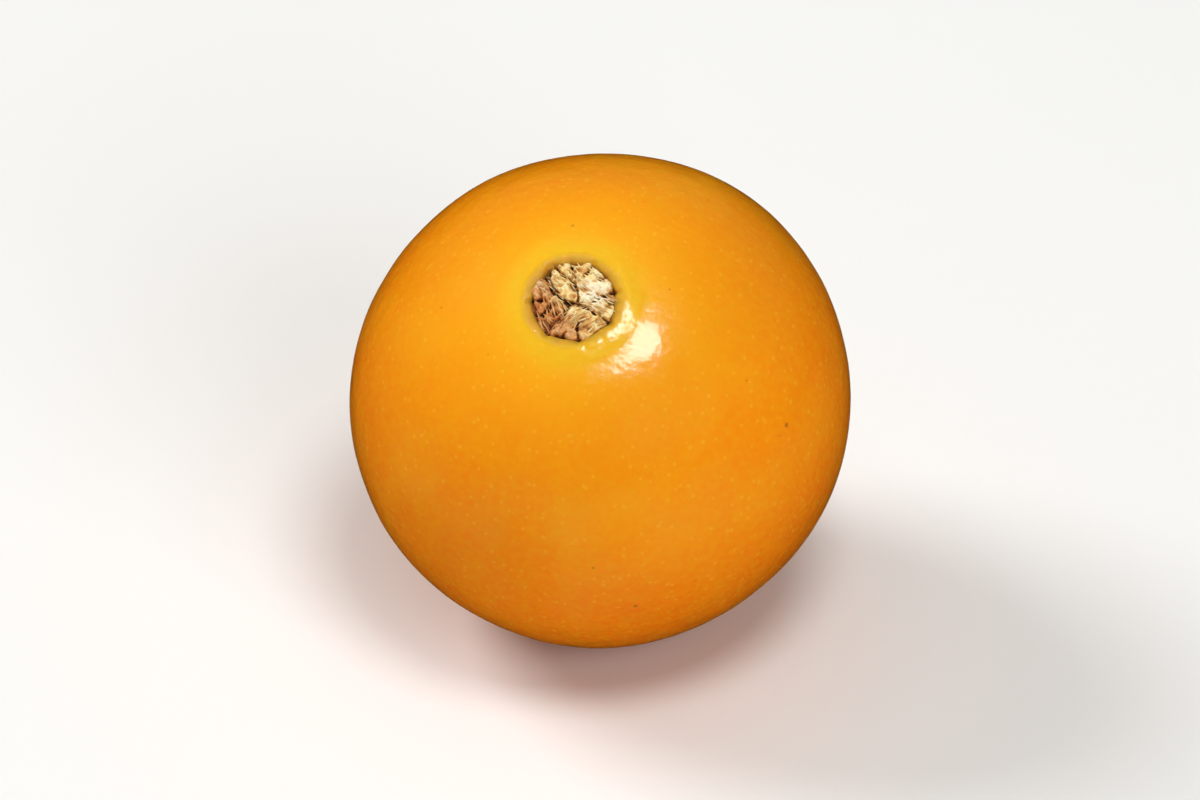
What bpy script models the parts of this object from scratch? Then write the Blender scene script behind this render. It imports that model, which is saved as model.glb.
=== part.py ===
# Physalis berry, picked and bare of its papery husk. It is one grown piece: a round, softly lobed
# fruit with the corky scar of its stem at one end and the small dot left by its flower at the other.
# It lies on a small flat spot, with the stem scar turned upwards and towards the front.
# Metres, +Z up, the origin at the middle of the flat spot.

import math

import bmesh
import bpy
from mathutils import Matrix, Vector, noise

MM = 0.001

# The body: two half ellipsoids that meet at the widest ring
WIDTH = 21.0 * MM
STEM_HALF = 9.9 * MM  # from the widest ring to the stem end
BLOSSOM_HALF = 10.3 * MM  # from the widest ring to the flower's end
OVAL = 0.010  # the fruit has two chambers, so it is a little wider one way
OVAL_TURN = math.radians(35)
LOBE = 0.006  # five soft shoulders, one under each lobe of the husk
LOBE_TURN = math.radians(62)
SWELL_HEIGHT = 0.13 * MM  # gentle lumps all over
SWELL_SPACING = 9.0 * MM

# The stem end: a wide shallow basin, a raised lip, and a crater filled with torn cork
BASIN_DEPTH = 0.34 * MM
BASIN_RADIUS = 3.4 * MM
SCAR_RADIUS = 1.78 * MM
SCAR_WAVE = 0.05 * SCAR_RADIUS  # how far the edge wanders in and out
LIP_HEIGHT = 0.17 * MM
LIP_WIDTH = 0.34 * MM
CRATER_DEPTH = 0.42 * MM
CRATER_WALL = 0.26 * MM
CORK_HEIGHT = 0.36 * MM
CORK_HIGH_SIDE = math.radians(38)  # the cork stands highest on this side
CRUMPLE_HEIGHT = 0.09 * MM
CRUMPLE_SPACING = 0.42 * MM
NOTCH_DEPTH = 0.14 * MM  # how far a crack bites into the skin at the edge
CRACK_WIDTH = 0.13 * MM

# Each crack in the cork: the way it runs from the middle, and where it starts and ends on that way
CRACKS = (
    (math.radians(132), 0.0 * MM, 2.1 * MM),
    (math.radians(73), 0.8 * MM, 1.9 * MM),
    (math.radians(21), 1.0 * MM, 1.9 * MM),
    (math.radians(-26), 0.5 * MM, 2.0 * MM),
    (math.radians(-115), 0.0 * MM, 2.1 * MM),
    (math.radians(188), 0.3 * MM, 1.7 * MM),
)

# The flower's end: a faint dimple with a dot standing in it
DIMPLE_DEPTH = 0.16 * MM
DIMPLE_RADIUS = 1.1 * MM
DOT_HEIGHT = 0.22 * MM
DOT_RADIUS = 0.34 * MM

# How it lies
TILT = math.radians(28)  # of the stem scar from straight up, towards the front
TURN = math.radians(-14)  # and then round to the left
FLAT_DEPTH = 0.24 * MM  # how much of the round underside the flat spot takes

# The mesh: rings round the stem, and the sides of each ring
SIDES = 64
SCAR_RING_STEP = 0.135 * MM
SCAR_RING_REACH = 2.85 * MM
RING_GROWTH = 1.24
WIDEST_RING_STEP = math.radians(7.0)
BLOSSOM_RING_RADII = (1.45 * MM, 0.95 * MM, 0.6 * MM, 0.38 * MM, 0.2 * MM)

SKIN_COLOUR = (0.84, 0.31, 0.012, 1.0)
SKIN_ROUGHNESS = 0.28


def clear_scene():
    for thing in list(bpy.data.objects):
        bpy.data.objects.remove(thing)


def smooth_step(low, high, value):
    share = min(max((value - low) / (high - low), 0.0), 1.0)
    return share * share * (3.0 - 2.0 * share)


def mound(distance, width):
    return math.exp(-((distance / width) ** 2))


def ring_angles():
    """Angles of the rings from the stem end: close over the scar, wide over the body."""
    angles = []
    radius = SCAR_RING_STEP
    while radius < SCAR_RING_REACH:
        angles.append(math.asin(radius / (WIDTH / 2)))
        radius += SCAR_RING_STEP
    last = [math.pi - math.asin(r / (WIDTH / 2)) for r in BLOSSOM_RING_RADII]
    step = angles[-1] - angles[-2]
    while angles[-1] + step * RING_GROWTH < last[0]:
        step = min(step * RING_GROWTH, WIDEST_RING_STEP)
        angles.append(angles[-1] + step)
    if last[0] - angles[-1] < WIDEST_RING_STEP / 2:
        angles.pop()
    return angles + last


def body_point(polar, around):
    """A point on the smooth fruit, at this angle from the stem end and this way round."""
    half = STEM_HALF if polar < math.pi / 2 else BLOSSOM_HALF
    belly = math.sin(polar)
    oval = OVAL * belly * math.cos(2 * (around - OVAL_TURN))
    shoulder = LOBE * math.sin(2 * polar) ** 2 * math.cos(5 * (around - LOBE_TURN))
    radius = WIDTH / 2 * (1.0 + oval + shoulder) * belly
    point = Vector((radius * math.cos(around), radius * math.sin(around), half * math.cos(polar)))
    swell = SWELL_HEIGHT * noise.noise(point / SWELL_SPACING)
    return point + swell * point.normalized()


def crack_nearness(across, along):
    """1 in the middle of a crack, falling to 0 beside it, for a point of the scar's own plane."""
    nearness = 0.0
    for heading, start, end in CRACKS:
        forward = across * math.cos(heading) + along * math.sin(heading)
        aside = along * math.cos(heading) - across * math.sin(heading)
        beyond = max(start - forward, forward - end, 0.0)
        nearness = max(nearness, mound(math.hypot(aside, beyond), CRACK_WIDTH))
    return nearness


def stem_relief(point):
    """How far the skin or cork stands out along the stem's axis at this point of the stem end."""
    distance = math.hypot(point.x, point.y)
    around = math.atan2(point.y, point.x)
    crack = crack_nearness(point.x, point.y)
    edge = SCAR_RADIUS + SCAR_WAVE * (math.cos(5 * around + 1.1) + 0.6 * math.cos(2 * around))
    edge += NOTCH_DEPTH * crack
    height = -BASIN_DEPTH * mound(distance, BASIN_RADIUS)
    height += LIP_HEIGHT * mound(distance - edge - LIP_WIDTH, LIP_WIDTH) * (1.0 - 0.6 * crack)
    inside = smooth_step(0.0, CRATER_WALL, edge - distance)
    crumple = noise.ridged_multi_fractal(point / CRUMPLE_SPACING, 1.0, 2.0, 3, 1.0, 2.0) - 0.8
    high_side = 0.78 + 0.22 * math.cos(around - CORK_HIGH_SIDE) * distance / SCAR_RADIUS
    fall = 1.0 - 0.55 * (distance / SCAR_RADIUS) ** 4
    cork = (CORK_HEIGHT * high_side * fall + CRUMPLE_HEIGHT * crumple) * (1.0 - 0.9 * crack)
    return height + inside * (cork - CRATER_DEPTH)


def blossom_relief(point):
    """How far the skin stands out at the flower's end."""
    distance = math.hypot(point.x, point.y)
    return DOT_HEIGHT * mound(distance, DOT_RADIUS) - DIMPLE_DEPTH * mound(distance, DIMPLE_RADIUS)


def skin_point(polar, around):
    point = body_point(polar, around)
    if polar < math.pi / 2:
        point.z += stem_relief(point)
    else:
        point.z -= blossom_relief(point)
    return point


def grow_fruit():
    """A sphere whose rings are slid to the wanted angles and whose points are moved onto the fruit."""
    angles = ring_angles()
    fruit = bmesh.new()
    bmesh.ops.create_uvsphere(fruit, u_segments=SIDES, v_segments=len(angles) + 1, radius=1.0)
    even_step = math.pi / (len(angles) + 1)
    for vertex in fruit.verts:
        ring = round(math.acos(max(-1.0, min(1.0, vertex.co.z))) / even_step)
        polar = 0.0 if ring == 0 else math.pi if ring > len(angles) else angles[ring - 1]
        around = math.atan2(vertex.co.y, vertex.co.x)
        vertex.co = skin_point(polar, around)
    return fruit


def lay_down(fruit):
    """Turns the fruit as it lies, cuts its flat spot, and puts the middle of that at the origin."""
    lie = Matrix.Rotation(TURN, 4, "Z") @ Matrix.Rotation(TILT, 4, "X")
    bmesh.ops.transform(fruit, matrix=lie, verts=fruit.verts)
    floor = min(vertex.co.z for vertex in fruit.verts) + FLAT_DEPTH
    bmesh.ops.bisect_plane(
        fruit,
        geom=fruit.verts[:] + fruit.edges[:] + fruit.faces[:],
        dist=0.00001 * MM,
        plane_co=(0.0, 0.0, floor),
        plane_no=(0.0, 0.0, 1.0),
        clear_inner=True,
    )
    rim = [edge for edge in fruit.edges if edge.is_boundary]
    spot = bmesh.ops.contextual_create(fruit, geom=rim)["faces"][0]
    middle = spot.calc_center_median()
    bmesh.ops.translate(fruit, vec=-middle, verts=fruit.verts)


def skin_material():
    material = bpy.data.materials.new("berry_skin")
    material.use_nodes = True
    shader = material.node_tree.nodes["Principled BSDF"]
    shader.inputs["Base Color"].default_value = SKIN_COLOUR
    shader.inputs["Roughness"].default_value = SKIN_ROUGHNESS
    shader.inputs["Metallic"].default_value = 0.0
    return material


def make_berry():
    clear_scene()
    collection = bpy.data.collections.new("physalis_berry")
    bpy.context.scene.collection.children.link(collection)
    fruit = grow_fruit()
    lay_down(fruit)
    bmesh.ops.recalc_face_normals(fruit, faces=fruit.faces)
    mesh = bpy.data.meshes.new("berry")
    fruit.to_mesh(mesh)
    fruit.free()
    mesh.shade_smooth()
    mesh.materials.append(skin_material())
    collection.objects.link(bpy.data.objects.new("berry", mesh))


make_berry()
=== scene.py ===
import math
import random

import bmesh
import bpy
from mathutils import Matrix, Vector, noise


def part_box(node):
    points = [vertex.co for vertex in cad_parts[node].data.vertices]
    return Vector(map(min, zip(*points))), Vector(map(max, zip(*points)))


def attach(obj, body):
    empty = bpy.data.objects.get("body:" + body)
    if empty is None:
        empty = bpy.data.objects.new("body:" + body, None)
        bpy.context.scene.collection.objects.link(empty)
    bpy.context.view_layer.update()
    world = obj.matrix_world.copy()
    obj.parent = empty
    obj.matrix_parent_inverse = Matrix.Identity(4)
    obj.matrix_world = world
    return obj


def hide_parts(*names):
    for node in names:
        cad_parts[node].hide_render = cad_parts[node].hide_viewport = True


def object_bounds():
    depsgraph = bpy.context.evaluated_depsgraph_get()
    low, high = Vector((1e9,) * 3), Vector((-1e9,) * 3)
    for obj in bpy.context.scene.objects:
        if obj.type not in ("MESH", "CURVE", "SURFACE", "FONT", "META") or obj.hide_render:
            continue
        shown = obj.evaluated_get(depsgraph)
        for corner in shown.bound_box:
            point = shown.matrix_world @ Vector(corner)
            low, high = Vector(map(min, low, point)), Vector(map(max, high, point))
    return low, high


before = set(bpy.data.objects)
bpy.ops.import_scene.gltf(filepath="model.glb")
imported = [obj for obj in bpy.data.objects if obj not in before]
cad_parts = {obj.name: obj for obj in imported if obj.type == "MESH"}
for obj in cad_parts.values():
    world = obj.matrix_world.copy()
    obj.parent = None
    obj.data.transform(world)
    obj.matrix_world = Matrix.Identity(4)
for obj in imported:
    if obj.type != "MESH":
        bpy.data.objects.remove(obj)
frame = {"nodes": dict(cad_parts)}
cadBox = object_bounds()
mm = 0.001
print("frame loaded:", ", ".join(frame["nodes"]))

# How the fruit lies, the same for every piece
fruit = {
    "stemLean": 28,  # how far the stem end leans towards the front
    "stemTurn": -14,  # and then turns to the left
    "flatDepth": 0.24,  # what the flat spot takes off the round underside
    "endShift": 0.2,  # the widest ring is this much nearer the stem end than the middle
}

# The cork's cracks, each a line through points: degrees round the stem, and how far from it
scar = {
    "cracks": (
        ((131, 2.05), (117, 1.05), (70, 0.42), (-10, 0.2)),
        ((134, 2.05), (163, 1.0), (192, 0.42), (-60, 0.25)),
        ((74, 2.05), (79, 1.25)),
        ((23, 1.95), (20, 1.15), (-5, 0.75)),
        ((-24, 2.0), (-21, 1.1), (-40, 0.3)),
        ((-116, 2.05), (-112, 1.1), (-90, 0.2)),
        ((188, 1.95), (186, 1.2)),
        ((-72, 1.9), (-68, 1.1)),
    ),
    # finer ones, that don't reach the skin
    "fineCracks": (
        ((98, 1.95), (104, 1.5), (100, 1.0)),
        ((48, 1.9), (52, 1.45)),
        ((150, 1.85), (146, 1.4), (160, 0.8)),
        ((-150, 1.9), (-146, 1.35), (-158, 0.9)),
        ((-96, 1.85), (-90, 1.5)),
        ((3, 1.85), (6, 1.5)),
    ),
    "waver": ((2.2, 0.08), (7, 0.03)),  # bends in each mm, and how far they go
    "widthChange": (1.9, 0.9),  # changes in each mm, and their share of the width
    "noiseLevel": 3.1,
    "seed": 5,
}
noise.seed_set(scar["seed"])  # without it the cracks waver in a new way on each run


# Small helpers


def fruitPlace():
    # turns the fruit's own upright axes to how it lies, round the middle of its widest ring
    low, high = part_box("berry")
    middle = (low + high) / 2 - Vector((0, 0, fruit["flatDepth"] * mm / 2))
    lie = Matrix.Rotation(math.radians(fruit["stemTurn"]), 4, "Z")
    lie = lie @ Matrix.Rotation(math.radians(fruit["stemLean"]), 4, "X")
    stem = lie.to_3x3() @ Vector((0, 0, 1))
    return Matrix.Translation(middle + stem * fruit["endShift"] * mm) @ lie


def choose(*pieces):
    bpy.ops.object.select_all(action="DESELECT")
    for piece in pieces:
        piece.select_set(True)
    bpy.context.view_layer.objects.active = pieces[0]


def settle(piece):
    # the place goes into the mesh, and the object stays at the origin
    choose(piece)
    bpy.ops.object.transform_apply(location=True, rotation=True, scale=True)


def startShaping(piece):
    choose(piece)
    bpy.ops.object.mode_set(mode="EDIT")


def pick(piece, kind, rule):
    # in edit mode, selects the points, edges or faces that the rule names, and no others
    bpy.ops.mesh.select_mode(type=kind)
    bpy.ops.mesh.select_all(action="DESELECT")
    shape = bmesh.from_edit_mesh(piece.data)
    for part in {"VERT": shape.verts, "EDGE": shape.edges, "FACE": shape.faces}[kind]:
        part.select_set(rule(part))
    bmesh.update_edit_mesh(piece.data)


def endShaping():
    bpy.ops.object.mode_set(mode="OBJECT")


def finishModifier(piece, kind, **settings):
    choose(piece)
    modifier = piece.modifiers.new(kind.lower(), kind)
    for name, value in settings.items():
        setattr(modifier, name, value)
    bpy.ops.object.modifier_apply(modifier=modifier.name)


def weigh(piece, name, rule):
    # a vertex group painted by a rule on each point's place
    group = piece.vertex_groups.new(name=name)
    for vertex in piece.data.vertices:
        weight = rule(vertex.co)
        if weight > 0.002:
            group.add([vertex.index], min(weight, 1.0), "REPLACE")


def push(piece, height, group, way="Z"):
    finishModifier(piece, "DISPLACE", strength=height * mm, mid_level=0, vertex_group=group, direction=way)


def roughen(piece, grain, height, group="", length=None, turn=0, middle=0.5, way="NORMAL",
            kind="CLOUDS", **look):
    # a procedural texture pushes the surface in and out; its grain can be longer one way
    texture = bpy.data.textures.new(kind.lower(), kind)
    texture.noise_scale = 1.0
    for name, value in look.items():
        setattr(texture, name, value)
    bpy.ops.object.empty_add(location=(0, 0, 0), rotation=(0, 0, math.radians(turn)))
    ruler = bpy.context.object
    ruler.scale = ((length or grain) * mm, grain * mm, grain * mm)
    bpy.context.view_layer.update()
    finishModifier(
        piece, "DISPLACE", texture=texture, texture_coords="OBJECT", texture_coords_object=ruler,
        strength=height * mm, mid_level=middle, vertex_group=group, direction=way,
    )
    bpy.data.objects.remove(ruler)
    bpy.data.textures.remove(texture)


def landing(piece, start, way):
    # the point where a line from the start meets the piece
    return piece.ray_cast(start, way)[1]


def reachOf(point):
    # distance from the stem's axis, for a point on the fruit's or the scar's own axes
    return math.hypot(point.x, point.y)


def ease(low, high, value):
    share = min(max((value - low) / (high - low), 0.0), 1.0)
    return share * share * (3 - 2 * share)


def mound(distance, width):
    return math.exp(-((distance / width) ** 2))


def crackNearness(point, width, lines=scar["cracks"] + scar["fineCracks"]):
    # 1 in a crack, falling to 0 beside it, for a point on the scar's own plane in mm
    spot = Vector((point.x, point.y, scar["noiseLevel"]))
    x, y = point.x, point.y
    for often, far in scar["waver"]:
        bend = noise.noise_vector(spot * often) * far
        x, y = x + bend.x, y + bend.y
    often, share = scar["widthChange"]
    width *= 1 + share * noise.noise(spot * often)
    nearest = math.inf
    for line in lines:
        ends = [Vector((math.cos(math.radians(a)), math.sin(math.radians(a)))) * r for a, r in line]
        for start, end in zip(ends, ends[1:]):
            run = end - start
            along = ((x - start.x) * run.x + (y - start.y) * run.y) / run.length_squared
            foot = start + run * min(max(along, 0.0), 1.0)
            nearest = min(nearest, math.hypot(x - foot.x, y - foot.y))
    return mound(nearest, width)


# Node helpers


def paint(red, green, blue):
    # a colour as a painting program gives it, made linear
    def linear(channel):
        share = channel / 255
        return share / 12.92 if share <= 0.04045 else ((share + 0.055) / 1.055) ** 2.4
    return (linear(red), linear(green), linear(blue), 1.0)


def newMaterial(name):
    material = bpy.data.materials.new(name)
    material.use_nodes = True
    return material, material.node_tree, material.node_tree.nodes["Principled BSDF"]


def addNode(tree, kind, inputs=None, **settings):
    made = tree.nodes.new("ShaderNode" + kind)
    for name, value in settings.items():
        setattr(made, name, value)
    for socket, value in (inputs or {}).items():
        if isinstance(value, bpy.types.NodeSocket):
            tree.links.new(value, made.inputs[socket])
        else:
            made.inputs[socket].default_value = value
    return made


def reckon(tree, operation, first, second):
    return addNode(tree, "Math", {0: first, 1: second}, operation=operation).outputs[0]


def spread(tree, value, low, high, start=0.0, end=1.0, kind="SMOOTHSTEP"):
    # a fade from the start where the value is low to the end where it is high
    inputs = {"Value": value, "From Min": low, "From Max": high, "To Min": start, "To Max": end}
    return addNode(tree, "MapRange", inputs, interpolation_type=kind).outputs["Result"]


def grainNoise(tree, place, size, detail=3.0, roughness=0.5):
    inputs = {"Vector": place, "Scale": 1 / size, "Detail": detail, "Roughness": roughness}
    return addNode(tree, "TexNoise", inputs).outputs["Fac"]


def patchwork(tree, place, size, low, high, end, start=0.0, detail=3.0, roughness=0.5, kind="SMOOTHSTEP"):
    return spread(tree, grainNoise(tree, place, size, detail, roughness), low, high, start, end, kind)


def blend(tree, share, first, second, way="MIX"):
    mixer = addNode(tree, "Mix", {0: share, 6: first, 7: second}, data_type="RGBA", blend_type=way)
    return mixer.outputs[2]


def ramp(tree, value, look, stops):
    # stops: places along the value, each with the name of its colour in the piece's dictionary
    last = stops[-1][0]
    node = addNode(tree, "ValToRGB", {0: spread(tree, value, 0, last, kind="LINEAR")})
    band = node.color_ramp
    while len(band.elements) < len(stops):
        band.elements.new(0.5)
    for element, (place, name) in zip(band.elements, stops):
        element.position = place / last
        element.color = look[name]
    return node.outputs["Color"]


def relief(tree, grain, height, under=None):
    # fine relief in the shading, with its height in mm, over what lies under it
    inputs = {"Height": grain, "Distance": height * mm, "Strength": 1.0}
    if under is not None:
        inputs["Normal"] = under
    return addNode(tree, "Bump", inputs).outputs[0]


def letLightIn(shader, look):
    shader.inputs["Subsurface Weight"].default_value = look["glow"]
    shader.inputs["Subsurface Radius"].default_value = look["glowColours"]
    shader.inputs["Subsurface Scale"].default_value = look["glowReach"] * mm


def ownPlace(tree, place):
    # object coordinates turned to the piece's own axes, in mm
    inputs = {
        "Vector": addNode(tree, "TexCoord").outputs["Object"],
        "Location": place.to_translation(),
        "Rotation": place.to_euler(),
        "Scale": (mm, mm, mm),
    }
    return addNode(tree, "Mapping", inputs, vector_type="TEXTURE").outputs[0]


def acrossStem(tree, spot):
    # the part of a place that runs out from the stem's axis
    split = addNode(tree, "SeparateXYZ", {0: spot})
    return addNode(tree, "CombineXYZ", {0: split.outputs["X"], 1: split.outputs["Y"]}).outputs[0]


def lengthOf(tree, vector):
    return addNode(tree, "VectorMath", {0: vector}, operation="LENGTH").outputs["Value"]


# The skin

skinValues = {
    "sides": 288,
    "rings": 144,
    "radius": 10.4,
    "weld": 0.001,  # the solid's points that are nearer than this are one
    "smoothing": 30,
    "capReach": 3.0,  # the round of the stem end that is shaped ring by ring
    "ringStep": 0.05,
    "innerReach": 0.9,
    "crown": 0.30,  # how far the cap would rise with no lip
    "lipRadius": 2.18,
    "lipWidth": 0.44,
    "lipOuterWidth": 0.66,
    "lipRise": 0.15,
    "craterEdge": 1.80,
    "craterWall": 0.30,
    "craterDepth": 0.50,
    "scarReach": 3.5,  # the lip's waves and the notches end well within this
    "waveWidth": 0.5,
    "notchDepth": 0.12,
    "notchWidth": 0.15,

    # grain and height of the soft relief
    "lipWave": (0.8, 0.10),
    "dimples": (3.2, 0.05),
    "pebbling": (0.9, 0.014),

    "orange": paint(243, 143, 2),
    "deepOrange": paint(243, 120, 1),
    "gold": paint(243, 170, 20),
    "yellow": paint(239, 187, 33),
    "straw": paint(198, 145, 38),
    "rind": paint(120, 76, 34),
    "pore": paint(252, 190, 56),
    "fleck": paint(150, 78, 16),

    # patches: size of the noise, the noise values between which they fade in, and what they reach
    "deepPatches": {"size": 4.0, "low": 0.35, "high": 0.75, "end": 0.4},
    "palePatches": {"size": 7.0, "detail": 2, "low": 0.45, "high": 0.70, "end": 0.4},
    "grain": {"size": 0.3, "low": 0.35, "high": 0.65, "end": 0.30, "kind": "LINEAR"},
    "veins": {"size": 1.0, "detail": 4, "roughness": 0.6, "low": 0.5, "high": 0.75, "end": 0.22},
    "veinsRound": 3.6,  # more of it makes more veins round the stem
    "veinsAlong": 0.05,  # and this bends them more on their way down
    "dullness": {
        "size": 1.8, "detail": 5, "roughness": 0.6, "low": 0.3, "high": 0.7,
        "start": 0.14, "end": 0.27, "kind": "LINEAR",
    },

    # fades: the heights above the widest ring, or the distances from the stem, between which they run,
    # and their strength at each
    "deepening": (8.5, -3, 0, 0.8),
    "paleUpper": (0, 6, 0, 1),
    "goldTop": (5, 9.5, 0, 0.35),
    "stemHalf": (0, 3, 0, 1),
    "ringFade": (7.5, 2.6, 0, 1),
    "dryRim": (2.25, 1.9, 0, 1),
    "tipHeight": (-3, -6, 0, 1),
    "tipReach": (3.0, 0.4, 0, 0.7),

    # colours in rings round the stem, by their distance from it
    "colourRings": (
        (1.62, "rind"), (1.9, "straw"), (2.3, "yellow"), (2.6, "yellow"), (3.4, "gold"), (8, "orange"),
    ),
    "ringWander": (1.3, 0.315),  # size of the noise, and how far it moves the rings

    # pores and flecks: how far apart they are, the distances between which they fade out, and strength
    "dots": (
        {"colour": "pore", "apart": 0.46, "inner": 0.0368, "outer": 0.1196, "strength": 0.36, "all": True},
        {"colour": "fleck", "apart": 2.3, "inner": 0.06, "outer": 0.14, "strength": 0.7, "all": False},
        {"colour": "fleck", "apart": 1.3, "inner": 0.03, "outer": 0.07, "strength": 0.5, "all": False},
    ),
    "fleckChance": (0.58, 0.64),  # a fleck shows where its random number is above these

    "dryRoughness": 0.40,  # more than elsewhere on the dry rim by the cork, which has no wax
    "coat": 0.75,
    "coatRoughness": 0.11,
    "lightBending": 1.42,
    # coarse and fine grain of the wax, and how high they are
    "relief": (({"size": 0.8, "detail": 2}, 0.03), ({"size": 0.22, "roughness": 0.6}, 0.009)),
    "glow": 0.5,  # share of light that passes into the flesh
    "glowReach": 1.6,
    "glowColours": (1.0, 0.36, 0.08),  # how far red, green and blue go, as shares of that
}


def capHeight(radius):
    shape = skinValues
    height = shape["crown"] * (1 - (radius / shape["capReach"]) ** 2)
    width = shape["lipOuterWidth"] if radius > shape["lipRadius"] else shape["lipWidth"]
    height += shape["lipRise"] * mound(radius - shape["lipRadius"], width)
    height -= shape["craterDepth"] * ease(0, shape["craterWall"], shape["craterEdge"] - radius)
    return height


def wrapOnSolid(skin):
    guide = bpy.data.objects.new("skinGuide", frame["nodes"]["berry"].data.copy())
    bpy.context.scene.collection.objects.link(guide)
    startShaping(guide)
    bpy.ops.mesh.select_all(action="SELECT")
    bpy.ops.mesh.remove_doubles(threshold=skinValues["weld"] * mm)
    endShaping()
    finishModifier(
        skin, "SHRINKWRAP", target=guide, wrap_method="PROJECT",
        use_negative_direction=True, use_positive_direction=True,
    )
    bpy.data.objects.remove(guide)
    finishModifier(skin, "SMOOTH", iterations=skinValues["smoothing"])


def shapeStemEnd(skin, place):
    # the faces round the stem become one, which is then inset ring by ring to the lip and crater
    toFruit = place.inverted()

    def onCap(face):
        point = toFruit @ face.calc_center_median() / mm
        return point.z > 0 and reachOf(point) < skinValues["capReach"]

    startShaping(skin)
    pick(skin, "FACE", onCap)
    bpy.ops.mesh.dissolve_faces()
    cap = next(face for face in bmesh.from_edit_mesh(skin.data).faces if face.select)
    rim = [toFruit @ vertex.co / mm for vertex in cap.verts]
    radius = sum(reachOf(point) for point in rim) / len(rim)
    level = sum(point.z for point in rim) / len(rim)
    while radius > skinValues["innerReach"]:
        inner = radius - skinValues["ringStep"]
        rise = capHeight(inner) - capHeight(radius)
        bpy.ops.mesh.inset(thickness=skinValues["ringStep"] * mm, depth=rise * mm)
        radius = inner
    bpy.ops.mesh.poke()
    endShaping()
    return place @ Matrix.Translation((0, 0, level * mm))


def weighByScar(skin, scarPlace, name, rule):
    # as weigh, by a rule on each point's place from the scar in mm, and only near the scar
    toScar = scarPlace.inverted()
    far = skinValues["scarReach"]

    def weight(point):
        spot = toScar @ point / mm
        return rule(spot) if spot.z > -far and reachOf(spot) < far else 0

    weigh(skin, name, weight)


def lipWeight(spot):
    return mound(reachOf(spot) - skinValues["lipRadius"], skinValues["waveWidth"])


def notchWeight(spot):
    inside = ease(skinValues["lipRadius"], skinValues["craterEdge"], reachOf(spot))
    return crackNearness(spot, skinValues["notchWidth"], scar["cracks"]) * inside


def makeSkin(place):
    bpy.ops.mesh.primitive_uv_sphere_add(
        segments=skinValues["sides"], ring_count=skinValues["rings"],
        radius=skinValues["radius"] * mm,
        location=place.to_translation(), rotation=place.to_euler(),
    )
    skin = bpy.context.object
    skin.name = skin.data.name = "berrySkin"
    settle(skin)
    wrapOnSolid(skin)
    scarPlace = shapeStemEnd(skin, place)
    weighByScar(skin, scarPlace, "lip", lipWeight)
    weighByScar(skin, scarPlace, "notches", notchWeight)
    roughen(skin, *skinValues["lipWave"], group="lip")
    push(skin, -skinValues["notchDepth"], "notches", way="NORMAL")
    roughen(skin, *skinValues["dimples"], noise_depth=1)
    roughen(skin, *skinValues["pebbling"], noise_depth=1)

    # the underside lies flat on the ground
    startShaping(skin)
    pick(skin, "VERT", lambda vertex: vertex.co.z < 0)
    bpy.ops.transform.resize(value=(1, 1, 0), center_override=(0, 0, 0))
    endShaping()
    bpy.ops.object.shade_smooth()
    skin.data.materials.clear()
    skin.data.materials.append(skinMaterial(place))
    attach(skin, "root")
    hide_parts("berry")
    print("skin:", len(skin.data.polygons), "faces")
    return skin, scarPlace


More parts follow.
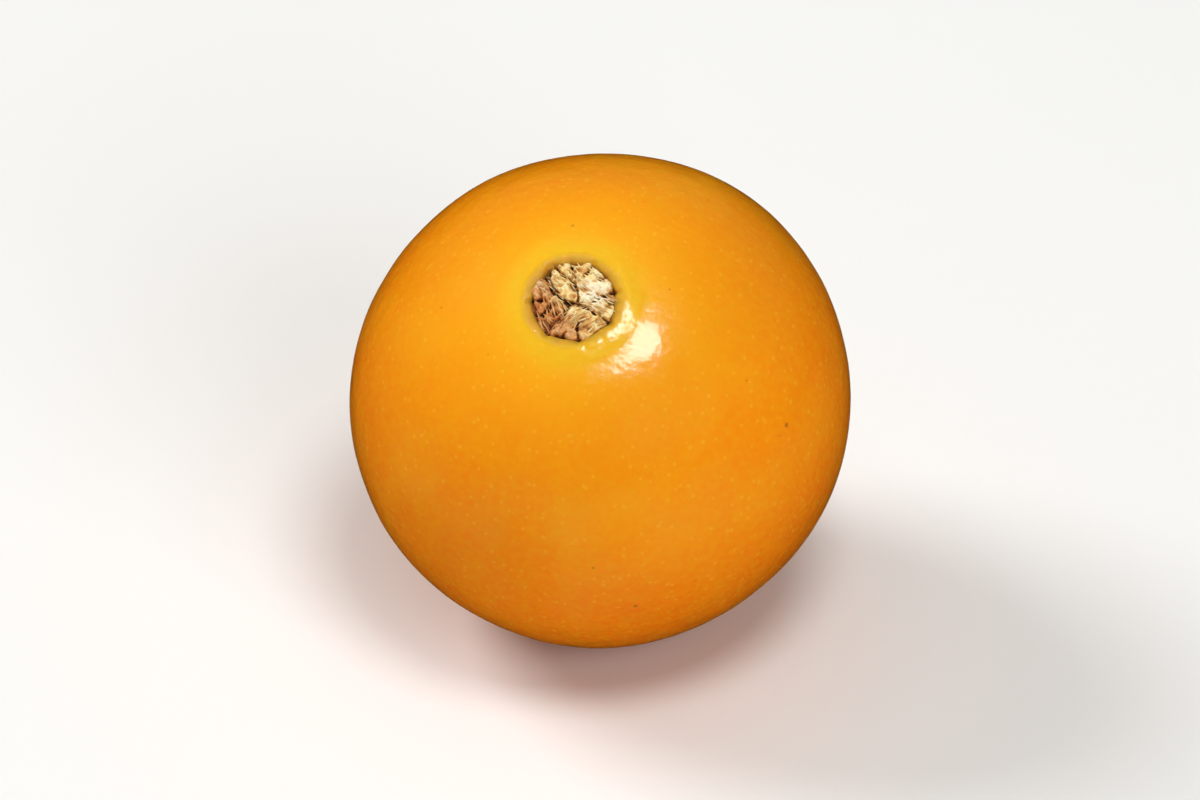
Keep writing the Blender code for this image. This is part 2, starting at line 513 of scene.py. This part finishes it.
def skinMaterial(place):
    material, tree, shader = newMaterial("waxySkin")
    look = skinValues
    spot = ownPlace(tree, place)
    outward = acrossStem(tree, spot)
    reach = lengthOf(tree, outward)
    height = addNode(tree, "SeparateXYZ", {0: spot}).outputs["Z"]

    # orange flesh colour, uneven over a few mm and deeper away from the stem
    deep = patchwork(tree, spot, **look["deepPatches"])
    deep = reckon(tree, "ADD", deep, spread(tree, height, *look["deepening"]))
    colour = blend(tree, deep, look["orange"], look["deepOrange"])
    pale = patchwork(tree, spot, **look["palePatches"])
    pale = reckon(tree, "MULTIPLY", pale, spread(tree, height, *look["paleUpper"]))
    pale = reckon(tree, "ADD", pale, spread(tree, height, *look["goldTop"]))
    colour = blend(tree, pale, colour, look["gold"])

    # faint pale veins that run from the stem to the flower's end
    around = addNode(tree, "VectorMath", {0: outward}, operation="NORMALIZE").outputs[0]
    around = addNode(tree, "VectorMath", {0: around, 3: look["veinsRound"]}, operation="SCALE").outputs[0]
    down = reckon(tree, "MULTIPLY", height, look["veinsAlong"])
    down = addNode(tree, "CombineXYZ", {2: down}).outputs[0]
    veinPlace = addNode(tree, "VectorMath", {0: around, 1: down}, operation="ADD").outputs[0]
    colour = blend(tree, patchwork(tree, veinPlace, **look["veins"]), colour, look["gold"])

    # the stem end turns gold, then yellow, with a dry brown rim at the cork
    size, strength = look["ringWander"]
    wander = reckon(tree, "SUBTRACT", grainNoise(tree, spot, size), 0.5)
    stemReach = reckon(tree, "ADD", reach, reckon(tree, "MULTIPLY", wander, strength))
    stemHalf = spread(tree, height, *look["stemHalf"])
    nearStem = reckon(tree, "MULTIPLY", stemHalf, spread(tree, stemReach, *look["ringFade"]))
    colour = blend(tree, nearStem, colour, ramp(tree, stemReach, look, look["colourRings"]))

    # and the flower's end is yellow too, over a smaller round
    tip = spread(tree, height, *look["tipHeight"])
    tip = reckon(tree, "MULTIPLY", tip, spread(tree, reach, *look["tipReach"]))
    colour = blend(tree, tip, colour, look["yellow"])

    # fine grain and pale pores under the wax, and a few small brown flecks of two sizes
    colour = blend(tree, patchwork(tree, spot, **look["grain"]), colour, look["gold"])
    for dots in look["dots"]:
        apart = dots["apart"]
        cells = addNode(tree, "TexVoronoi", {"Vector": spot, "Scale": 1 / apart, "Randomness": 1.0})
        away = cells.outputs["Distance"]
        share = spread(tree, away, dots["outer"] / apart, dots["inner"] / apart, 0, dots["strength"])
        if not dots["all"]:
            chance = addNode(tree, "SeparateColor", {0: cells.outputs["Color"]}).outputs[0]
            share = reckon(tree, "MULTIPLY", share, spread(tree, chance, *look["fleckChance"]))
        colour = blend(tree, share, colour, look[dots["colour"]])

    # the dry rim by the cork is rougher and has no wax
    dry = reckon(tree, "MULTIPLY", stemHalf, spread(tree, stemReach, *look["dryRim"]))
    rougher = reckon(tree, "MULTIPLY", dry, look["dryRoughness"])
    roughness = reckon(tree, "ADD", patchwork(tree, spot, **look["dullness"]), rougher)
    waxed = reckon(tree, "MULTIPLY", reckon(tree, "SUBTRACT", 1.0, dry), look["coat"])

    bump = None
    for layer, rise in look["relief"]:
        bump = relief(tree, grainNoise(tree, spot, **layer), rise, bump)

    tree.links.new(colour, shader.inputs["Base Color"])
    tree.links.new(roughness, shader.inputs["Roughness"])
    tree.links.new(waxed, shader.inputs["Coat Weight"])
    tree.links.new(bump, shader.inputs["Normal"])
    tree.links.new(bump, shader.inputs["Coat Normal"])
    shader.inputs["Coat Roughness"].default_value = look["coatRoughness"]
    shader.inputs["IOR"].default_value = look["lightBending"]
    letLightIn(shader, look)
    return material


# The torn cork in the scar

corkValues = {
    "size": 4.0,  # of the sheet that it is cut from
    "points": 160,
    "reach": 1.92,
    "dome": 0.20,
    "thickness": 0.35,
    "edgeLevel": 0.13,  # above the edge of the skin's cap
    "crackDepth": 0.21,
    "crackWidth": 0.06,
    "swell": 0.05,  # it stands higher where no crack is near
    "swellWidth": 0.26,
    "edgeStart": 1.66,  # from here the cork bends down under the skin
    "edgeWidth": 0.24,
    "edgeDrop": 0.30,
    "edgeWander": ((1.7, 5.3, 0.22), (6, 9.1, 0.088)),  # waves in each mm, level in the noise, and how far
    "crumple": (0.34, 0.12),  # grain and height
    "crumpleMiddle": 0.9,  # the noise value that stays where it is
    "fineGrain": (0.07, 0.025),  # grain and height
    # depth over which the painted shade runs: the cork's colour is darkest in its cracks and hollows and
    # palest on its ridges
    "shadeDepth": 0.3,  # from the darkest hollow to the palest ridge

    # pads of cork between the cracks: where they start and end round the stem, the way their strands
    # run, and how far they stand up
    "pads": (
        {"start": 80, "end": 128, "turn": -35, "rise": 0.05},
        {"start": 128, "end": 190, "turn": -40, "rise": 0.07},
        {"start": 190, "end": 244, "turn": -55, "rise": -0.02},
        {"start": 244, "end": 292, "turn": 60, "rise": 0.08},
        {"start": 292, "end": 337, "turn": 40, "rise": 0.03},
        {"start": 337, "end": 383, "turn": -20, "rise": 0.10},
        {"start": 383, "end": 440, "turn": -22, "rise": 0.08},
    ),
    "padBlend": 8,
    "padStart": (0.1, 0.5),  # distances from the stem between which the pads fade in
    "padEdgeLoss": 0.7,  # what they lose at the edge of the cork
    "strandGrain": (0.085, 0.17),  # grain across the strands, and height
    "strandLength": 0.55,

    "fresh": paint(252, 240, 216),
    "pale": paint(251, 235, 182),
    "cream": paint(238, 205, 132),
    "tan": paint(212, 154, 81),
    "blush": paint(214, 138, 90),
    "brown": paint(142, 89, 39),
    "dark": paint(70, 40, 16),
    "shades": ((0.0, "dark"), (0.26, "brown"), (0.46, "tan"), (0.70, "cream"), (1.0, "pale")),

    # the noise that all its colour follows, and what it adds to the shade
    "uneven": {"size": 0.28, "detail": 4, "roughness": 0.65},
    "unevenShade": (0.25, 0.75, -0.22, 0.22),
    "blushUneven": 1.2,
    "blushCorner": (0.7, -1.0, 0, 0.85),
    "blushMix": 0.8,
    "freshPlace": (0.8, 0.4, 0.2),  # the middle of the nearly white patch
    "freshUneven": 0.5,
    "freshFade": (0.75, 0.1, 0, 1),
    "freshShade": (0.4, 0.8, 0, 0.7),

    "fibre": {"size": 0.05},
    "fibreHeight": 0.012,
    "roughness": (0.3, 0.7, 0.62, 0.84),  # noise values, and the roughness there
    "glow": 0.25,
    "glowReach": 0.25,
    "glowColours": (1.0, 0.6, 0.35),
}


def domeShare(distance):
    # 1 in the middle of the cork, 0 at its edge
    return 1 - (distance / mm / corkValues["reach"]) ** 2


def padWeight(pad, point):
    angle = math.degrees(math.atan2(point.y, point.x)) % 360
    middle = (pad["start"] + pad["end"]) / 2
    away = abs((angle - middle + 180) % 360 - 180)
    half = (pad["end"] - pad["start"]) / 2
    soft = corkValues["padBlend"]
    reach = reachOf(point)
    fade = 1 - corkValues["padEdgeLoss"] * ease(corkValues["edgeStart"], corkValues["reach"], reach)
    return ease(half + soft, half - soft, away) * ease(*corkValues["padStart"], reach) * fade


def edgeWeight(point):
    start = corkValues["edgeStart"]
    for often, level, far in corkValues["edgeWander"]:
        start += noise.noise(Vector((point.x, point.y, level)) * often) * far
    return ease(start, start + corkValues["edgeWidth"], point.length)


def makeCork(scarPlace):
    bpy.ops.mesh.primitive_grid_add(
        x_subdivisions=corkValues["points"], y_subdivisions=corkValues["points"],
        size=corkValues["size"] * mm, location=(0, 0, 0),
    )
    cork = bpy.context.object
    cork.name = cork.data.name = "stemCork"
    startShaping(cork)
    pick(cork, "VERT", lambda vertex: vertex.co.length > corkValues["reach"] * mm)
    bpy.ops.mesh.delete(type="VERT")
    endShaping()

    weigh(cork, "dome", lambda point: domeShare(point.length))
    weigh(cork, "cracks", lambda point: crackNearness(point / mm, corkValues["crackWidth"]))
    weigh(cork, "besideCracks", lambda point: 1 - crackNearness(point / mm, corkValues["swellWidth"]))
    weigh(cork, "edge", lambda point: edgeWeight(point / mm))
    push(cork, corkValues["dome"], "dome")
    push(cork, corkValues["swell"], "besideCracks")
    for number, pad in enumerate(corkValues["pads"]):
        name = "pad%d" % number
        weigh(cork, name, lambda point: padWeight(pad, point / mm))
        push(cork, pad["rise"], name)
        roughen(
            cork, *corkValues["strandGrain"], group=name, length=corkValues["strandLength"],
            turn=pad["turn"], way="Z",
        )
    roughen(
        cork, *corkValues["crumple"], middle=corkValues["crumpleMiddle"], way="Z",
        kind="MUSGRAVE", musgrave_type="RIDGED_MULTIFRACTAL", octaves=4.0,
    )
    push(cork, -corkValues["crackDepth"], "cracks")
    roughen(cork, *corkValues["fineGrain"], way="Z")
    push(cork, -corkValues["edgeDrop"], "edge")

    # how deep each point lies below the untorn dome, for the painted shade that darkens the colour in the
    # cracks and hollows
    depth = cork.data.attributes.new("hollowShadeAndTone", "FLOAT", "POINT")
    for vertex in cork.data.vertices:
        untorn = corkValues["dome"] * domeShare(vertex.co.xy.length)
        depth.data[vertex.index].value = 0.5 + (vertex.co.z / mm - untorn) / corkValues["shadeDepth"]

    # a wall down into the crater and a floor close the piece
    startShaping(cork)
    pick(cork, "EDGE", lambda edge: edge.is_boundary)
    bpy.ops.mesh.extrude_region_move(
        TRANSFORM_OT_translate={"value": (0, 0, -corkValues["thickness"] * mm)}
    )
    bpy.ops.mesh.edge_face_add()
    bpy.ops.mesh.select_all(action="SELECT")
    bpy.ops.mesh.normals_make_consistent(inside=False)
    endShaping()
    bpy.ops.object.shade_smooth()
    cork.data.materials.append(corkMaterial(scarPlace))
    return cork


def corkMaterial(place):
    material, tree, shader = newMaterial("tornCork")
    look = corkValues
    spot = ownPlace(tree, place)
    # painted shade: the deeper a point lies below the untorn dome, the darker its colour, with the ridges
    # palest; the noise adds uneven tone on top
    depth = addNode(tree, "Attribute", attribute_name="hollowShadeAndTone").outputs["Fac"]
    uneven = grainNoise(tree, spot, **look["uneven"])
    shade = reckon(tree, "ADD", depth, spread(tree, uneven, *look["unevenShade"], "LINEAR"))
    colour = ramp(tree, shade, look, look["shades"])

    # pinker and darker towards the lower left
    split = addNode(tree, "SeparateXYZ", {0: spot})
    corner = reckon(tree, "ADD", split.outputs["X"], split.outputs["Y"])
    corner = reckon(tree, "ADD", corner, reckon(tree, "MULTIPLY", uneven, look["blushUneven"]))
    blushed = blend(tree, look["blushMix"], colour, look["blush"], "MULTIPLY")
    colour = blend(tree, spread(tree, corner, *look["blushCorner"]), colour, blushed)

    # and nearly white on the high pads right of the middle
    away = addNode(tree, "VectorMath", {0: spot, 1: look["freshPlace"]}, operation="DISTANCE")
    nearer = reckon(tree, "MULTIPLY", uneven, look["freshUneven"])
    fresh = spread(tree, reckon(tree, "SUBTRACT", away.outputs["Value"], nearer), *look["freshFade"])
    fresh = reckon(tree, "MULTIPLY", fresh, spread(tree, shade, *look["freshShade"]))
    colour = blend(tree, fresh, colour, look["fresh"])

    bump = relief(tree, grainNoise(tree, spot, **look["fibre"]), look["fibreHeight"])
    roughness = spread(tree, uneven, *look["roughness"], "LINEAR")
    tree.links.new(colour, shader.inputs["Base Color"])
    tree.links.new(roughness, shader.inputs["Roughness"])
    tree.links.new(bump, shader.inputs["Normal"])
    letLightIn(shader, look)
    return material


# Torn strands that lie on the cork

strandValues = {
    "count": 170,
    "seed": 4,
    "sides": 6,
    "cuts": 5,
    "taper": ((0.45, 0.55, 0.15), (0.2, 0.45, 0.72)),  # from and to, along the half, and how thick there
    "width": (0.025, 0.09),
    "length": (0.25, 0.95),
    "thickness": (0.5, 0.9),  # as a share of the width
    "reach": 0.84,  # share of the cork's reach that they lie in
    "nearest": 0.02,  # share of that round which is left bare in the middle
    "curl": 50,  # at most, and so are the next three
    "roll": 0.4,  # in radians
    "tilt": 18,
    "turn": 22,  # away from how the pad's own strands run
    "lift": 0.012,
    "tone": (0.3, 0.95),
}


def makeStrand():
    # one sliver along X, thick in the middle and pointed at its ends
    bpy.ops.mesh.primitive_cylinder_add(
        vertices=strandValues["sides"], radius=0.5, depth=1, location=(0, 0, 0),
        rotation=(0, math.radians(90), 0),
    )
    strand = bpy.context.object
    strand.name = strand.data.name = "strand"
    settle(strand)
    startShaping(strand)
    pick(strand, "EDGE", lambda edge: abs(edge.verts[0].co.x - edge.verts[1].co.x) > 0.5)
    bpy.ops.mesh.subdivide(number_cuts=strandValues["cuts"])
    for near, far, share in strandValues["taper"]:
        pick(strand, "VERT", lambda vertex: near < abs(vertex.co.x) < far)
        bpy.ops.transform.resize(value=(1, share, share), center_override=(0, 0, 0))
    endShaping()
    return strand


def makeStrands(cork):
    look = strandValues
    draw = random.Random(look["seed"])
    pattern = makeStrand()
    strands = []
    for number in range(look["count"]):
        pad = draw.choice(corkValues["pads"])
        angle = math.radians(draw.uniform(pad["start"], pad["end"]))
        radius = corkValues["reach"] * look["reach"] * math.sqrt(draw.uniform(look["nearest"], 1))
        x, y = radius * math.cos(angle) * mm, radius * math.sin(angle) * mm
        ground = landing(cork, Vector((x, y, 2 * mm)), Vector((0, 0, -1)))
        length = draw.uniform(*look["length"]) * mm
        width = draw.uniform(*look["width"]) * mm
        strand = pattern.copy()
        strand.data = pattern.data.copy()
        bpy.context.scene.collection.objects.link(strand)
        finishModifier(
            strand, "SIMPLE_DEFORM", deform_method="BEND", deform_axis="Z",
            angle=math.radians(draw.uniform(-look["curl"], look["curl"])),
        )
        strand.scale = (length, width, width * draw.uniform(*look["thickness"]))
        strand.rotation_euler = (
            draw.uniform(-look["roll"], look["roll"]),
            math.radians(draw.uniform(-look["tilt"], look["tilt"])),
            math.radians(pad["turn"] + draw.uniform(-look["turn"], look["turn"])),
        )
        strand.location = (x, y, ground.z + look["lift"] * mm)
        settle(strand)
        # one random tone for each strand, on the same scale as the cork's painted shade
        shade = strand.data.attributes.new("hollowShadeAndTone", "FLOAT", "POINT")
        tone = draw.uniform(*look["tone"])
        for entry in shade.data:
            entry.value = tone
        strands.append(strand)
    bpy.data.objects.remove(pattern)
    choose(*strands)
    bpy.ops.object.join()
    joined = bpy.context.object
    joined.name = joined.data.name = "corkStrands"
    bpy.ops.object.shade_smooth()
    joined.data.materials.append(cork.data.materials[0])
    return joined


def setOnScar(piece, scarPlace):
    piece.matrix_world = scarPlace @ Matrix.Translation((0, 0, corkValues["edgeLevel"] * mm))
    settle(piece)
    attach(piece, "root")
    print(piece.name + ":", len(piece.data.polygons), "faces")


# The dot that the flower leaves

dotValues = {
    "sides": 28,
    "radius": 0.34,
    "height": 0.42,
    "sunk": 0.25,
    "topShare": 0.66,  # how wide the top is beside the foot
    "rim": 0.10,
    "hollow": 0.12,
    "hollowWall": 0.03,
    "bevel": 0.03,
    "grain": (0.16, 0.05),  # grain and height

    "tan": paint(176, 124, 62),
    "brown": paint(110, 66, 30),
    "dark": paint(52, 28, 14),
    "patches": {"size": 0.12, "detail": 4},
    "patchEdge": (0.35, 0.65),
    "rimUneven": 0.1,
    "rimFade": (0.26, 0.40, 0, 0.8),
    "relief": 0.02,
    "roughness": 0.7,
}


def makeFlowerDot(place, skin):
    bpy.ops.mesh.primitive_cylinder_add(
        vertices=dotValues["sides"], radius=dotValues["radius"] * mm, depth=dotValues["height"] * mm,
        location=(0, 0, 0),
    )
    dot = bpy.context.object
    dot.name = dot.data.name = "flowerDot"
    startShaping(dot)
    pick(dot, "FACE", lambda face: face.normal.z > 0.9)
    share = dotValues["topShare"]
    bpy.ops.transform.resize(value=(share, share, 1), center_override=(0, 0, 0))
    bpy.ops.mesh.inset(thickness=dotValues["rim"] * mm, depth=0)
    bpy.ops.mesh.inset(thickness=dotValues["hollowWall"] * mm, depth=-dotValues["hollow"] * mm)
    endShaping()
    finishModifier(dot, "BEVEL", width=dotValues["bevel"] * mm, segments=2)
    finishModifier(dot, "SUBSURF", levels=2, render_levels=2)
    roughen(dot, *dotValues["grain"])
    bpy.ops.object.shade_smooth()

    # it is stood on the skin at the end away from the stem
    tip = place.to_3x3() @ Vector((0, 0, -1))
    outside = place.to_translation() + tip * 20 * mm
    flip = Matrix.Rotation(math.radians(180), 4, "X")
    stand = Matrix.Translation((0, 0, (dotValues["height"] / 2 - dotValues["sunk"]) * mm))
    foot = Matrix.Translation(landing(skin, outside, -tip))
    dot.matrix_world = foot @ place.to_3x3().to_4x4() @ flip @ stand
    settle(dot)
    dot.data.materials.append(dotMaterial(place))
    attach(dot, "root")
    print("flowerDot:", len(dot.data.polygons), "faces")


def dotMaterial(place):
    material, tree, shader = newMaterial("dryFlowerDot")
    look = dotValues
    spot = ownPlace(tree, place)
    reach = lengthOf(tree, acrossStem(tree, spot))
    patches = grainNoise(tree, spot, **look["patches"])
    colour = blend(tree, spread(tree, patches, *look["patchEdge"]), look["dark"], look["brown"])
    rim = reckon(tree, "ADD", reach, reckon(tree, "MULTIPLY", patches, look["rimUneven"]))
    colour = blend(tree, spread(tree, rim, *look["rimFade"]), colour, look["tan"])
    tree.links.new(colour, shader.inputs["Base Color"])
    tree.links.new(relief(tree, patches, look["relief"]), shader.inputs["Normal"])
    shader.inputs["Roughness"].default_value = look["roughness"]
    return material


# Floor, lights and camera, with lengths in metres

studio = {
    "floorSize": 3.0,
    "floorColour": paint(240, 240, 238),
    "floorDullness": {
        "size": 0.025, "low": 0.3, "high": 0.7, "start": 0.5, "end": 0.6, "kind": "LINEAR",
    },
    "roomStrength": 0.11,
    "roomColour": (1.0, 0.80, 0.56, 1.0),
    "belowColour": (0.9, 0.33, 0.04, 1.0),  # seen only in the gloss of the skin's underside
    "horizon": (-0.1, 0.3),  # between these heights one colour turns into the other
    "viewTransform": "Standard",
}

# Each light: the way from the fruit to it, how far and how wide it is, and its power in watts.
# Only the key light is seen in the skin's gloss.
studioLights = {
    "keyLight": {"way": (0.15, -0.30, 0.94), "distance": 0.5, "size": 0.19, "power": 0.98,
                 "colour": (1.0, 1.0, 1.0), "gloss": True},
    "backLeftLight": {"way": (-0.70, 0.35, 0.62), "distance": 0.6, "size": 0.3, "power": 2.4,
                      "colour": (0.98, 0.99, 1.0), "gloss": False},
    "ceilingLight": {"way": (0, 0, 1), "distance": 0.8, "size": 1.0, "power": 1.15,
                     "colour": (0.90, 0.96, 1.0), "gloss": False},
    "frontLight": {"way": (0.45, -0.75, 0.45), "distance": 0.8, "size": 0.6, "power": 3.2,
                   "colour": (0.90, 0.96, 1.0), "gloss": False},
}

photoCamera = {
    "azimuth": 0,
    "elevation": 37,
    "distance": 0.77,
    "nearest": 0.01,
    "share": 0.60,  # of the picture's height that the fruit takes up
    "aspect": 1200 / 800,
}


def makeFloor():
    bpy.ops.mesh.primitive_plane_add(size=studio["floorSize"], location=(0, 0, 0))
    floor = bpy.context.object
    floor.name = floor.data.name = "floor"
    material, tree, shader = newMaterial("paleFloor")
    place = addNode(tree, "TexCoord").outputs["Object"]
    tree.links.new(patchwork(tree, place, **studio["floorDullness"]), shader.inputs["Roughness"])
    shader.inputs["Base Color"].default_value = studio["floorColour"]
    floor.data.materials.append(material)
    floor.visible_glossy = False


def makeLights(middle):
    for name, light in studioLights.items():
        way = Vector(light["way"]).normalized()
        bpy.ops.object.light_add(type="AREA", location=middle + way * light["distance"])
        lamp = bpy.context.object
        lamp.name = name
        lamp.rotation_euler = way.to_track_quat("Z", "Y").to_euler()
        lamp.data.shape = "DISK"
        lamp.data.size = light["size"]
        lamp.data.energy = light["power"]
        lamp.data.color = light["colour"]
        lamp.visible_glossy = light["gloss"]


def makeRoom():
    world = bpy.data.worlds.new("softRoom")
    world.use_nodes = True
    room = world.node_tree
    way = addNode(room, "TexCoord").outputs["Generated"]
    upward = spread(room, addNode(room, "SeparateXYZ", {0: way}).outputs["Z"], *studio["horizon"])
    colour = blend(room, upward, studio["belowColour"], studio["roomColour"])
    room.links.new(colour, room.nodes["Background"].inputs["Color"])
    room.nodes["Background"].inputs["Strength"].default_value = studio["roomStrength"]
    bpy.context.scene.world = world
    bpy.context.scene.view_settings.view_transform = studio["viewTransform"]


def makeCamera(middle, height):
    look = photoCamera
    azimuth = math.radians(look["azimuth"])
    elevation = math.radians(look["elevation"])
    back = Vector((
        math.sin(azimuth) * math.cos(elevation),
        -math.cos(azimuth) * math.cos(elevation),
        math.sin(elevation),
    ))
    bpy.ops.object.camera_add(location=middle + back * look["distance"])
    camera = bpy.context.object
    camera.name = "photoCamera"
    camera.rotation_euler = back.to_track_quat("Z", "Y").to_euler()
    pictureWidth = height / look["share"] * look["aspect"]
    camera.data.lens = camera.data.sensor_width * look["distance"] / pictureWidth
    camera.data.clip_start = look["nearest"]
    bpy.context.scene.camera = camera


berryPlace = fruitPlace()
skin, scarPlace = makeSkin(berryPlace)
cork = makeCork(scarPlace)
strands = makeStrands(cork)
setOnScar(cork, scarPlace)
setOnScar(strands, scarPlace)
makeFlowerDot(berryPlace, skin)

low, high = cadBox
makeFloor()
makeLights((low + high) / 2)
makeRoom()
makeCamera((low + high) / 2, high.z - low.z)
print("floor, lights and camera are set")
